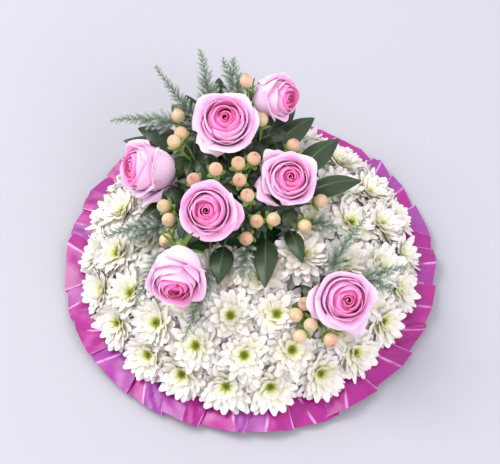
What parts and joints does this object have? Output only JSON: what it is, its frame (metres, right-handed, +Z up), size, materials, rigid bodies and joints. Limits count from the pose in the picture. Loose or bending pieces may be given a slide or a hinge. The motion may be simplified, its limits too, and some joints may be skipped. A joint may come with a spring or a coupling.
{
  "type": "funeral posy",
  "caption": "Round domed flower posy on a foam disc, with packed white blooms, a rose cluster, berries, leaves and fern, and a pleated satin ribbon edging.",
  "frame": {"origin": "centre of the flat underside of the backing disc, on the surface that the posy stands on", "axes": "+Z up, +Y towards the rose cluster's back, which is away from the camera in the picture, and +X to the right in the picture"},
  "size_m": [0.302, 0.302, 0.1342],
  "materials": {
    "backing": "moulded rigid foam, matt white",
    "foam": "soaked green floral foam, porous",
    "ribbon": "magenta satin, glossy",
    "white_petal": "fresh petal, soft matt, creamy white with a lime green disc",
    "rose_petal": "fresh petal, velvety, pale pink deepening to the middle",
    "stem": "fresh green stem and sepals, satin",
    "leaf": "dark green leaf, semi-gloss",
    "fern": "grey-green fern, matt",
    "berry": "peach berry skin, semi-gloss, with a green calyx"
  },
  "bodies": {
    "root": {"backing_disc": "backing", "foam_disc": "foam", "ribbon_edging": "ribbon", "chrysanthemums_rim": "white_petal", "chrysanthemums_shoulder": "white_petal", "chrysanthemums_upper": "white_petal", "chrysanthemums_crown": "white_petal", "rose_top": "rose_petal", "rose_back": "rose_petal", "rose_left": "rose_petal", "rose_middle": "rose_petal", "rose_right": "rose_petal", "rose_front": "rose_petal", "rose_single": "rose_petal", "rose_top_stem": "stem", "rose_back_stem": "stem", "rose_left_stem": "stem", "rose_middle_stem": "stem", "rose_right_stem": "stem", "rose_front_stem": "stem", "rose_single_stem": "stem", "berries_left_back": "berry", "berries_back": "berry", "berries_centre": "berry", "berries_middle": "berry", "berries_front": "berry", "berries_left": "berry", "berries_right": "berry", "berries_right_back": "berry", "berries_single": "berry", "ruscus_leaf_1": "leaf", "ruscus_leaf_2": "leaf", "ruscus_leaf_3": "leaf", "ruscus_leaf_4": "leaf", "ruscus_leaf_5": "leaf", "ruscus_leaf_6": "leaf", "ruscus_leaf_7": "leaf", "ruscus_leaf_8": "leaf", "ruscus_leaf_9": "leaf", "ruscus_leaf_10": "leaf", "ruscus_leaf_11": "leaf", "ruscus_leaf_12": "leaf", "ruscus_leaf_13": "leaf", "ruscus_leaf_14": "leaf", "fern_left_back": "fern", "fern_top_left": "fern", "fern_top": "fern", "fern_left": "fern", "fern_left_front": "fern", "fern_front_left": "fern", "fern_front": "fern", "fern_inner": "fern", "fern_right": "fern", "fern_single_left": "fern", "fern_single_right": "fern"}
  },
  "joints": []
}
